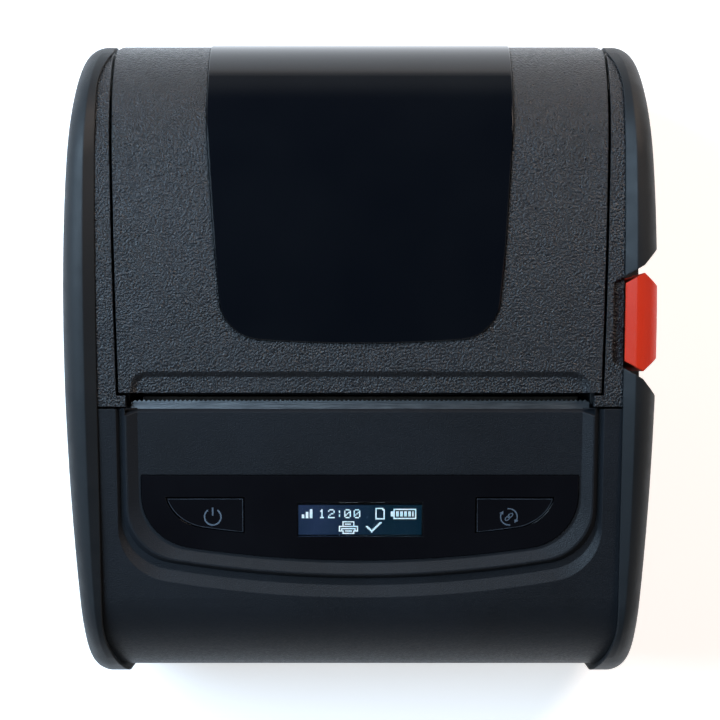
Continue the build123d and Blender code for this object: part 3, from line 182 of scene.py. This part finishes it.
# Print mechanism: the chassis with the head, its heat sink and the guide under the paper.
# The head is a ceramic strip under a dark glaze, which covers its row of heating dots.
ceramic = Finish("head_ceramic", (0.018, 0.014, 0.011), 0.22)
ceramic.shade(ceramic.cloud(2 * MM, 3), (0.028, 0.022, 0.017))
ceramic.relief(ceramic.cloud(0.4 * MM), 0.01 * MM)
dress(ceramic, "thermal_head")

sink = Finish("sink_aluminium", (0.62, 0.64, 0.66), 0.36)
sink.shader.inputs["Metallic"].default_value = 1
sink.shade(sink.cloud(4 * MM, 3), (0.5, 0.52, 0.54))
sink.relief(sink.cloud(0.4 * MM, 3, 0, 1, sink.stretched(0.05, 1, 1)), 0.02 * MM)
dress(sink, "head_heatsink")

dress(black_case, "chassis", "lid_inner", "stepper_motor", "platen_bushings")
motor_can = Finish("motor_can", (0.42, 0.43, 0.45), 0.34)
motor_can.shader.inputs["Metallic"].default_value = 1
motor_can.shade(motor_can.cloud(3 * MM, 3), (0.3, 0.31, 0.33))
motor_can.relief(motor_can.cloud(0.3 * MM, 2, 0, 1, motor_can.stretched(1, 0.1, 0.1)), 0.01 * MM)
dress(motor_can, "stepper_motor", "latch_yoke")


# Paper drive: the gears between the motor and the platen.
# They are moulded in white nylon, which lets a little light in. The pinion is pressed on the
# motor's shaft, the double gear runs on a stub, and the last gear leaves with the platen.
nylon = Finish("gear_white", (0.72, 0.70, 0.64), 0.42)
nylon.shader.inputs["Subsurface Weight"].default_value = 0.15
nylon.shader.inputs["Subsurface Radius"].default_value = (0.002, 0.002, 0.0015)
nylon.shade(nylon.cloud(1.5 * MM, 3), (0.62, 0.6, 0.54))
nylon.relief(nylon.cloud(0.25 * MM), 0.01 * MM)
dress(nylon, "platen_gear", "compound_gear", "motor_pinion")


# Platen: the roller that draws the paper over the head.
# A black rubber sleeve, ground round, is bonded to a steel shaft that leaves with the lid.
grip = Finish("platen_grip", (0.018, 0.018, 0.02), 0.62)
grip.shade(grip.cloud(3 * MM, 3), (0.03, 0.03, 0.032))
grip.relief(grip.cloud(0.2 * MM, 2, 0, 1, grip.stretched(0.2, 1, 1)), 0.03 * MM)
dress(grip, "platen_rubber")


# Tear bar: the toothed strip in front of the paper slot.
# It is blanked from stainless sheet and brushed along its length, and sits in the front cover.
steel = Finish("tear_steel", (0.33, 0.35, 0.37), 0.34)
steel.shader.inputs["Metallic"].default_value = 1
steel.shade(steel.cloud(1.2 * MM, 3, 0, 1, steel.stretched(0.3, 1, 1)), (0.22, 0.235, 0.25))
steel.relief(steel.cloud(0.2 * MM, 2, 0, 1, steel.stretched(0.05, 1, 1)), 0.02 * MM, edge=0.05 * MM)
dress(steel, "tear_bar")


# Keys and key panel: one gloss black sheet with two keys cut out of it.
# Each key is printed with a thin grey pictogram, and a thin lighter band round its cut edge is a
# painted highlight where the edge catches the light.
gloss = Finish("gloss_black", (0.0032, 0.0032, 0.0045), 0.09)
gloss.shade(gloss.cloud(18 * MM, 3), (0.0045, 0.0048, 0.0065))
gloss.rough(gloss.cloud(5 * MM, 4, 0.07, 0.14))
gloss.relief(gloss.cloud(6 * MM, 2), 0.006 * MM, 0.4, edge=0.22 * MM)
dress(gloss, "key_panel", "power_key", "pair_key")

SLOPE = math.radians(13)
UP_SLOPE = Vector((0, -math.sin(SLOPE), math.cos(SLOPE)))


def top_of(name, direction):
    """How far a piece reaches along one direction."""
    return max(v.co.dot(direction) for v in cad[name].data.vertices)


def on_slope(reach, x, y, lift=0.0):
    """The point over x, y on the sloping plane that lies at one reach."""
    return Vector((x, y, (reach + lift - y * UP_SLOPE.y) / UP_SLOPE.z))


def flat_piece(name, outlines, reach, thick, finish, body):
    """A thin printed or cut piece on the slope, from closed outlines in millimetres."""
    points, faces = [], []
    for outline in outlines:
        first, count = len(points), len(outline)
        for lift in (0, thick):
            points += [on_slope(reach, x * MM, y * MM, lift) for x, y in outline]
        faces.append([first + count + i for i in range(count)])
        for i in range(count):
            j = (i + 1) % count
            faces.append([first + i, first + j, first + count + j, first + count + i])
    mesh = bpy.data.meshes.new(name)
    mesh.from_pydata([tuple(p) for p in points], [], faces)
    mesh.materials.append(finish.material)
    piece = bpy.data.objects.new(name, mesh)
    bpy.context.scene.collection.objects.link(piece)
    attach(piece, body)
    return piece


ARC_STEPS = 28


def stroke(line, width, closed=False):
    """Four-cornered outlines that follow a line with one width."""
    rows, count = [], len(line)
    for i, (x, y) in enumerate(line):
        before = line[(i - 1) % count] if closed or i else line[i]
        after = line[(i + 1) % count] if closed or i < count - 1 else line[i]
        along = Vector((after[0] - before[0], after[1] - before[1])).normalized()
        side = Vector((-along.y, along.x)) * (width / 2)
        rows.append(((x + side.x, y + side.y), (x - side.x, y - side.y)))
    pairs = list(zip(rows, rows[1:] + rows[:1] if closed else rows[1:]))
    return [[a[1], b[1], b[0], a[0]] for a, b in pairs]


def arc(cx, cy, radius, start, end):
    """Points round a centre, between two angles in degrees."""
    turns = [math.radians(start + (end - start) * i / ARC_STEPS) for i in range(ARC_STEPS + 1)]
    return [(cx + radius * math.cos(t), cy + radius * math.sin(t)) for t in turns]


ink = Finish("key_ink", (0.10, 0.135, 0.175), 0.4)
ink.shade(ink.cloud(0.4 * MM, 2), (0.075, 0.1, 0.135))
POWER_X, PAIR_X, ICON_Y = -26.75, 27.05, -28.5
ICON_RADIUS, LINE, PRINT_THICK = 1.5, 0.27, 0.02 * MM
BAR_FROM, BAR_TO = 0.25, 1.75

power = stroke(arc(POWER_X, ICON_Y, ICON_RADIUS, 125, 415), LINE)
power += stroke([(POWER_X, ICON_Y + BAR_FROM), (POWER_X, ICON_Y + BAR_TO)], LINE)
flat_piece(
    "power_icon", power, top_of("power_key", UP_SLOPE), PRINT_THICK, ink, "power_button"
)

# Each key's edge: a thin lighter band, a painted highlight where the cut edge catches the light
EDGE_WIDTH, EDGE_THICK, TOP_BAND = 0.12, 0.015 * MM, 0.03 * MM
edge_highlight = Finish("key_edge", (0.045, 0.055, 0.07), 0.22)
edge_highlight.shade(edge_highlight.cloud(1.5 * MM, 2), (0.02, 0.025, 0.032))


def rim_of(name, inset):
    """The outline of a key's sloping top, drawn in a little, in millimetres."""
    reach = top_of(name, UP_SLOPE)
    top = [v.co for v in cad[name].data.vertices if reach - v.co.dot(UP_SLOPE) < TOP_BAND]
    spots = [Vector((p.x / MM, p.y / MM)) for p in top]
    rim = [spots[i] for i in geometry.convex_hull_2d(spots)]
    middle = sum(rim, Vector((0, 0))) / len(rim)
    return [p + (middle - p).normalized() * inset for p in rim]


# The painted highlight band rides on each key, just inside its outline
for key, body in (("power_key", "power_button"), ("pair_key", "pair_button")):
    edge = stroke(rim_of(key, EDGE_WIDTH), EDGE_WIDTH, closed=True)
    flat_piece(key + "_edge", edge, top_of(key, UP_SLOPE), EDGE_THICK, edge_highlight, body)

# Two arrows chase each other round two linked loops
ARROW_STARTS, ARROW_SWEEP, HEAD_TIP, HEAD_BACK, HEAD_HALF = (100, 280), 128, 148, 122, 0.38
LINK_SHIFT, LINK_LONG, LINK_WIDE, LINK_STEPS = 0.36, 0.52, 0.3, 20
DIAGONAL = 0.7071
pair = []
for start in ARROW_STARTS:
    sweep = arc(PAIR_X, ICON_Y, ICON_RADIUS, start, start - ARROW_SWEEP)
    pair += stroke(sweep, LINE * 0.8)
    tip_angle = math.radians(start - HEAD_TIP)
    back_angle = math.radians(start - HEAD_BACK)
    tip = (PAIR_X + ICON_RADIUS * math.cos(tip_angle), ICON_Y + ICON_RADIUS * math.sin(tip_angle))
    wings = [
        (PAIR_X + r * math.cos(back_angle), ICON_Y + r * math.sin(back_angle))
        for r in (ICON_RADIUS - HEAD_HALF, ICON_RADIUS + HEAD_HALF)
    ]
    pair.append([tip, wings[0], wings[1]])
for shift in (-LINK_SHIFT, LINK_SHIFT):
    loop = []
    for t in range(LINK_STEPS):
        turn = math.tau * t / LINK_STEPS
        u, v = LINK_LONG * math.cos(turn) + shift, LINK_WIDE * math.sin(turn)
        loop.append((PAIR_X + (u - v) * DIAGONAL, ICON_Y + (u + v) * DIAGONAL))
    pair += stroke(loop, LINE * 0.6, closed=True)
flat_piece(
    "pair_icon", pair, top_of("pair_key", UP_SLOPE), PRINT_THICK, ink, "pair_button"
)


# Display: a small lit module under a clear lens in the middle of the panel.
# Its dots are laid out on a grid of 128 by 32, with status signs above and a printer below.
lens = Finish("clear_lens", (0.9, 0.93, 0.96), 0.03)
lens.shader.inputs["Transmission Weight"].default_value = 1
lens.shader.inputs["IOR"].default_value = 1.46
lens.rough(lens.cloud(6 * MM, 2, 0.02, 0.05))
dress(lens, "display_lens")

module = Finish("display", (0.004, 0.006, 0.010), 0.2)
module.shade(module.cloud(5 * MM, 2), (0.008, 0.012, 0.02))
dress(module, "oled_module")

# Painted sheen: a dim bluish glow laid over the display's dark face, brightest on the left where the
# bluish light falls and fading to the right
painted_sheen = Finish("display_painted_sheen", (0.003, 0.005, 0.008), 0.3)
parts_of_place = painted_sheen.node("SeparateXYZ")
painted_sheen.join(painted_sheen.place, parts_of_place.inputs[0])
SHEEN_LEFT, SHEEN_RIGHT = -11 * MM, 5 * MM
side_fade = painted_sheen.node("MapRange")
side_fade.inputs["From Min"].default_value = SHEEN_LEFT
side_fade.inputs["From Max"].default_value = SHEEN_RIGHT
side_fade.inputs["To Min"].default_value = 1.1
side_fade.inputs["To Max"].default_value = 0.0
painted_sheen.join(parts_of_place.outputs["X"], side_fade.inputs["Value"])
patchy = painted_sheen.node("Math", operation="MULTIPLY")
painted_sheen.join(side_fade.outputs["Result"], patchy.inputs[0])
painted_sheen.join(painted_sheen.cloud(7 * MM, 2, 0.5, 1.0), patchy.inputs[1])
sheen_colour = painted_sheen.node("Mix", data_type="RGBA")
sheen_colour.inputs["A"].default_value = (0.001, 0.018, 0.036, 1)
sheen_colour.inputs["B"].default_value = (0.022, 0.042, 0.105, 1)
painted_sheen.join(patchy.outputs[0], sheen_colour.inputs["Factor"])
painted_sheen.join(sheen_colour.outputs["Result"], painted_sheen.shader.inputs["Emission Color"])
painted_sheen.shader.inputs["Emission Strength"].default_value = 0.8

dots = Finish("display_dots", (0.5, 0.6, 0.65), 0.4)
dot_light = dots.node("Mix", data_type="RGBA")
dot_light.inputs["A"].default_value = (0.45, 0.75, 0.85, 1)
dot_light.inputs["B"].default_value = (0.85, 0.95, 1.0, 1)
dots.join(dots.cloud(1.2 * MM, 1), dot_light.inputs["Factor"])
dots.join(dot_light.outputs["Result"], dots.shader.inputs["Emission Color"])
dots.shader.inputs["Emission Strength"].default_value = 0.85

PITCH, COLUMNS, ROWS, DOT_FILL = 0.175, 128, 32, 0.92
LIT_LEFT, LIT_REAR = -11.2, -26.3
SHEEN_THICK, DOT_THICK = 0.02 * MM, 0.05 * MM
lit_reach = top_of("oled_module", UP_SLOPE)
lit_right, lit_front = LIT_LEFT + COLUMNS * PITCH, LIT_REAR - ROWS * PITCH * math.cos(SLOPE)
lit_area = [(LIT_LEFT, lit_front), (lit_right, lit_front), (lit_right, LIT_REAR), (LIT_LEFT, LIT_REAR)]
# The painted sheen is a thin emitting sheet over the display's whole grid
flat_piece("display_painted_sheen", [lit_area], lit_reach, SHEEN_THICK, painted_sheen, "housing")

DIGITS = {
    "1": "00100 01100 00100 00100 00100 00100 01110",
    "2": "01110 10001 00001 00110 01000 10000 11111",
    "0": "01110 10001 10011 10101 11001 10001 01110",
    ":": "000 010 010 000 010 010 000",
}
SIGNS = {
    "signal": "000000011 000000011 000011011 000011011 011011011 011011011 011011011",
    "page": "1111110 1000011 1000001 1000001 1000001 1000001 1000001 1000001 1111111",
    "cell": "0011111111111111111 0010000000000000001 1110110110110110101 1110110110110110101 "
    "1110110110110110101 1110110110110110101 0010000000000000001 0011111111111111111",
    "printer": "0001111111111000 0001000000001000 0001011111001000 0001000000001000 1111111111111111 "
    "1000000000000001 1011111111111101 1010000000000101 1111011111101111 0001000000001000 "
    "0001111111111000",
    "tick": "000000000011 000000000110 000000001100 110000011000 011000110000 001101100000 "
    "000111000000 000010000000",
}


def sign(rows, column, row, grow):
    """The dots of one sign, from its rows of ones and noughts."""
    found = []
    for down, line in enumerate(rows.split()):
        for across, dot in enumerate(line):
            if dot == "1":
                found.append((column + across * grow, row + down * grow, grow))
    return found


# Each sign has its first column and row on the grid, and grows by one factor
GROW, PRINTER_GROW, CLOCK_COLUMN, CLOCK_ROW = 1.4, 1.25, 21, 4.5
lit = sign(SIGNS["signal"], 2, CLOCK_ROW, GROW) + sign(SIGNS["page"], 80, 3, GROW)
lit += sign(SIGNS["cell"], 96, 4, GROW)
column = CLOCK_COLUMN
for letter in "12:00":
    lit += sign(DIGITS[letter], column, CLOCK_ROW, GROW)
    column += (len(DIGITS[letter].split()[0]) + 2) * GROW
lit += sign(SIGNS["printer"], 42, 17.5, PRINTER_GROW) + sign(SIGNS["tick"], 70, 18.5, GROW)
squares = []
for across, down, grow in lit:
    left = LIT_LEFT + across * PITCH
    rear = LIT_REAR - down * PITCH * math.cos(SLOPE)
    side = grow * PITCH * DOT_FILL
    right, front = left + side, rear - side
    squares.append([(left, front), (right, front), (right, rear), (left, rear)])
flat_piece("display_dots", squares, lit_reach, DOT_THICK, dots, "housing")


# Window: the panel in the lid through which the paper roll is seen.
# It is bent from smoked polycarbonate, polished on both faces, and snaps into the lid cover.
smoked = Finish("smoked_window", (0.0022, 0.003, 0.005), 0.05)
smoked.shader.inputs["Specular IOR Level"].default_value = 0.3
smoked.shade(smoked.cloud(25 * MM, 2), (0.0035, 0.0045, 0.0065))
smoked.rough(smoked.cloud(9 * MM, 4, 0.04, 0.10))
smoked.relief(smoked.cloud(16 * MM, 1.5), 0.02 * MM, 0.25, edge=0.35 * MM)
dress(smoked, "lid_window")


# Side bumpers: the printer's soft sides, which take a fall.
# They are moulded hollow in matt black rubber and pressed over the housing's ends.
rubber = Finish("bumper_rubber", (0.0048, 0.0068, 0.0090), 0.55)
rubber.shader.inputs["Specular IOR Level"].default_value = 0.35
rubber.shade(rubber.cloud(20 * MM, 3), (0.007, 0.0095, 0.012))
rubber.rough(rubber.cloud(3 * MM, 4, 0.5, 0.6))
rubber.relief(rubber.cloud(0.15 * MM, 2), 0.012 * MM, edge=0.4 * MM)
dress(rubber, "left_bumper", "right_bumper")


# Lid release: the orange-red button let into the right bumper.
# It is moulded in plastic with a satin face, and slides on its stem through the side wall.
red = moulded("button_red", (0.66, 0.036, 0.012), 0.42, 0.25 * MM, 0.015 * MM, 0.4 * MM, lift=0.88)
red.shader.inputs["Specular IOR Level"].default_value = 0.18
red.shader.inputs["Subsurface Weight"].default_value = 0.1
red.shader.inputs["Subsurface Radius"].default_value = (0.003, 0.0008, 0.0004)
dress(red, "release_button")


# Studio: a pale table, a sky that is bright low down on the left, and three soft boxes.
# The table shows white to the camera and in reflections, and keeps the printer's shadow.
FLOOR, LIFT = 3.0, 0.6
floor_mesh = bpy.data.meshes.new("table")
floor_mesh.from_pydata(
    [(-FLOOR, -FLOOR, 0), (FLOOR, -FLOOR, 0), (FLOOR, FLOOR, 0), (-FLOOR, FLOOR, 0)], [], [(0, 1, 2, 3)]
)
table = bpy.data.objects.new("table", floor_mesh)
bpy.context.scene.collection.objects.link(table)
white = Finish("table_white", (0.93, 0.93, 0.93), 0.9)
white.shade(white.cloud(0.3, 2), (0.91, 0.91, 0.915))
floor_mesh.materials.append(white.material)
path = white.node("LightPath")
seen = white.node("Math", operation="MAXIMUM")
white.join(path.outputs["Is Camera Ray"], seen.inputs[0])
white.join(path.outputs["Is Glossy Ray"], seen.inputs[1])
seen_through = white.node("Math", operation="MAXIMUM")
white.join(seen.outputs[0], seen_through.inputs[0])
white.join(path.outputs["Is Transmission Ray"], seen_through.inputs[1])
lifted = white.node("Math", operation="MULTIPLY")
lifted.inputs[1].default_value = LIFT
white.join(seen_through.outputs[0], lifted.inputs[0])
white.join(lifted.outputs[0], white.shader.inputs["Emission Strength"])
white.shader.inputs["Emission Color"].default_value = (1, 1, 1, 1)

HORIZON, ZENITH, DARK_SIDE = 0.5, 0.035, 0.12
sky = bpy.data.worlds.new("studio")
bpy.context.scene.world = sky
sky.use_nodes = True
air = sky.node_tree
around = air.nodes.new("ShaderNodeTexCoord")
parts = air.nodes.new("ShaderNodeSeparateXYZ")
fade = air.nodes.new("ShaderNodeMapRange")
fade.interpolation_type = "SMOOTHSTEP"
fade.inputs["From Min"].default_value = 0.12
fade.inputs["From Max"].default_value = 0.5
fade.inputs["To Min"].default_value = HORIZON
fade.inputs["To Max"].default_value = ZENITH
air.links.new(around.outputs["Generated"], parts.inputs[0])
air.links.new(parts.outputs["Z"], fade.inputs["Value"])
bright_side = air.nodes.new("ShaderNodeVectorMath")
bright_side.operation = "DOT_PRODUCT"
bright_side.inputs[1].default_value = Vector((-1, 0.25, 0)).normalized()
air.links.new(around.outputs["Generated"], bright_side.inputs[0])
dim = air.nodes.new("ShaderNodeMapRange")
dim.interpolation_type = "SMOOTHSTEP"
dim.inputs["From Min"].default_value = -0.9
dim.inputs["From Max"].default_value = 1.0
dim.inputs["To Min"].default_value = DARK_SIDE
air.links.new(bright_side.outputs["Value"], dim.inputs["Value"])
horizon = air.nodes.new("ShaderNodeMath")
horizon.operation = "MULTIPLY"
air.links.new(fade.outputs["Result"], horizon.inputs[0])
air.links.new(dim.outputs["Result"], horizon.inputs[1])
air.links.new(horizon.outputs[0], air.nodes["Background"].inputs["Strength"])
air.nodes["Background"].inputs["Color"].default_value = (0.9, 0.95, 1, 1)


def soft_box(name, place, aim, size, power, colour):
    """A square studio lamp that looks at one point."""
    lamp = bpy.data.lights.new(name, "AREA")
    lamp.shape, lamp.size, lamp.energy, lamp.color = "SQUARE", size, power, colour
    stand = bpy.data.objects.new(name, lamp)
    bpy.context.scene.collection.objects.link(stand)
    stand.location = place
    stand.rotation_euler = (Vector(aim) - Vector(place)).to_track_quat("-Z", "Y").to_euler()


soft_box("left_box", (-0.30, 0.10, 0.36), (0, 0, 0.04), 0.30, 3.5, (0.58, 0.79, 1.0))
soft_box("rear_box", (0.36, 0.40, 0.42), (0, 0.02, 0.05), 0.22, 3.0, (1.0, 0.80, 0.66))
soft_box("right_box", (0.7, -0.1, 0.40), (0, 0, 0.04), 0.4, 0.5, (1.0, 0.95, 0.9))

LENS, SENSOR, EYE_HEIGHT = 124.75, 36, 0.5
eye = bpy.data.cameras.new("camera")
eye.lens, eye.sensor_width = LENS, SENSOR
camera = bpy.data.objects.new("camera", eye)
bpy.context.scene.collection.objects.link(camera)
camera.location = (0, 0, EYE_HEIGHT)
bpy.context.scene.camera = camera
bpy.context.scene.view_settings.view_transform = "Standard"
